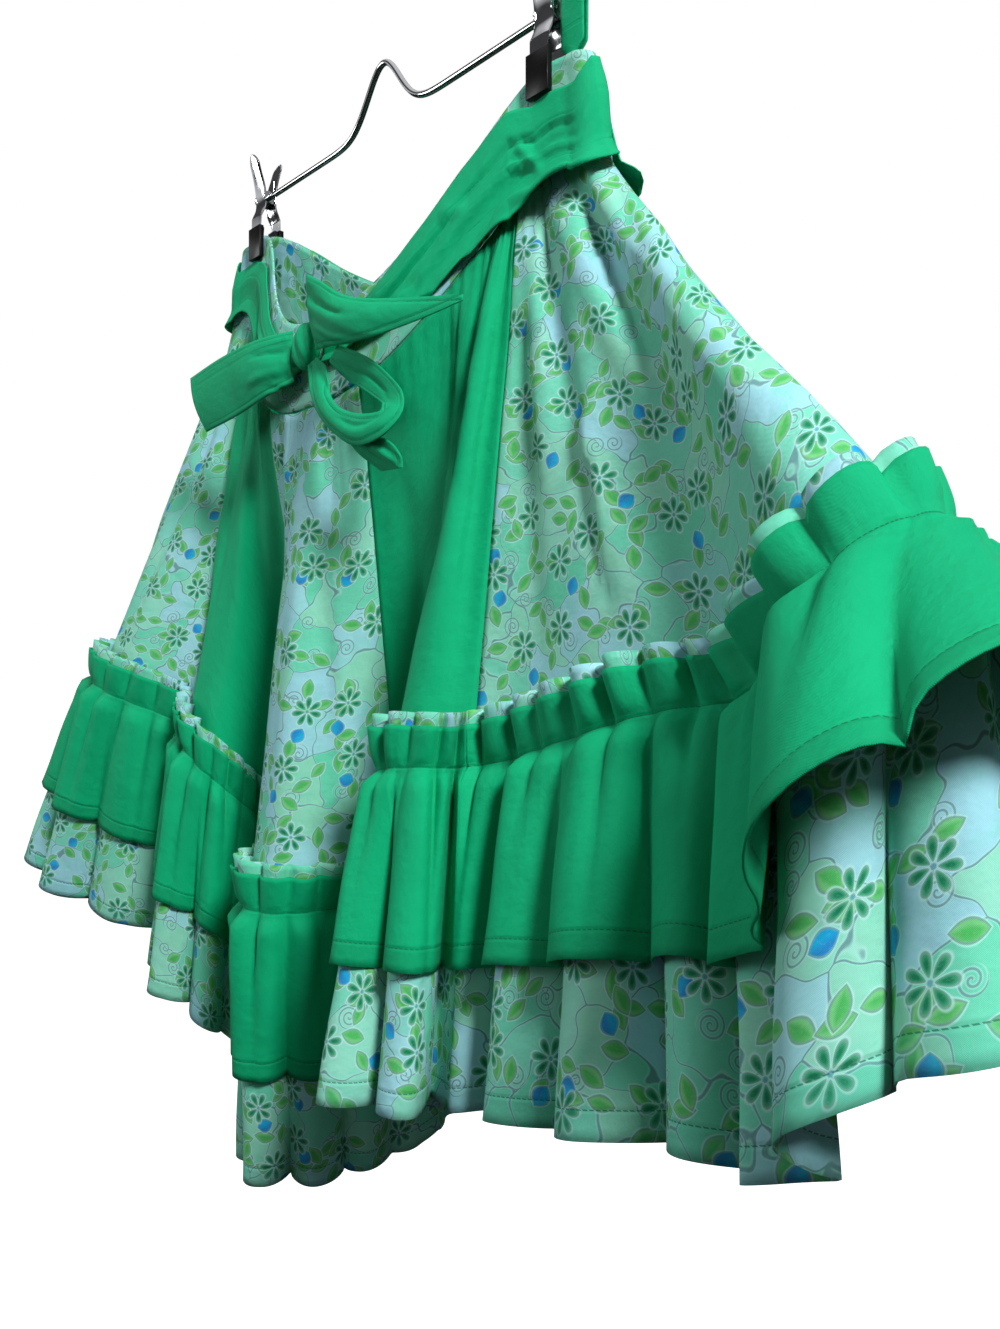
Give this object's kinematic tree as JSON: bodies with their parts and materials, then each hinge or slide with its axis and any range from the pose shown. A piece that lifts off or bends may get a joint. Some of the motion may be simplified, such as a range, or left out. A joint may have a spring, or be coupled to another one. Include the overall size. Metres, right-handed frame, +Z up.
{
  "type": "square dance skirt on a clip hanger",
  "caption": "Full gored skirt with a gathered print flounce under a shorter green one and a tied sash, hung by its waist from a wire clip hanger.",
  "frame": {"origin": "underside of the raised middle of the hanger's wire, where the hanger is held", "axes": "+Z up, +X along the hanger's bar towards the clip with the hanging loop, front of the skirt and its bow towards -Y"},
  "size_m": [0.8352, 0.2856, 0.7013],
  "materials": {
    "print_cloth": "plain weave cotton blend, flowers and leaves on a mint ground",
    "green_cloth": "plain weave cotton blend with a slight sheen",
    "chrome": "polished",
    "vinyl": "smooth"
  },
  "bodies": {
    "root": {"hanger_wire": "chrome", "clip_left_jaw_front": "chrome", "clip_left_tip_front": "vinyl", "clip_left_jaw_back": "chrome", "clip_left_tip_back": "vinyl", "clip_right_jaw_front": "chrome", "clip_right_tip_front": "vinyl", "clip_right_jaw_back": "chrome", "clip_right_tip_back": "vinyl", "waistband_front": "print_cloth", "waistband_back": "print_cloth", "gore_front_print": "print_cloth", "gore_front_right_green": "green_cloth", "gore_right_print": "print_cloth", "gore_back_right_green": "green_cloth", "gore_back_print": "print_cloth", "gore_back_left_green": "green_cloth", "gore_left_print": "print_cloth", "gore_front_left_green": "green_cloth", "flounce_print_front": "print_cloth", "flounce_print_right": "print_cloth", "flounce_print_back": "print_cloth", "flounce_print_left": "print_cloth", "flounce_green_front": "green_cloth", "flounce_green_right": "green_cloth", "flounce_green_back": "green_cloth", "flounce_green_left": "green_cloth", "sash_right": "green_cloth", "sash_left": "green_cloth", "sash_back": "green_cloth", "bow_knot": "green_cloth", "bow_left_tail": "green_cloth", "bow_pointed_loop": "green_cloth", "bow_hanging_loop": "green_cloth", "bow_short_tail": "green_cloth", "hanging_loop": "green_cloth"}
  },
  "joints": []
}
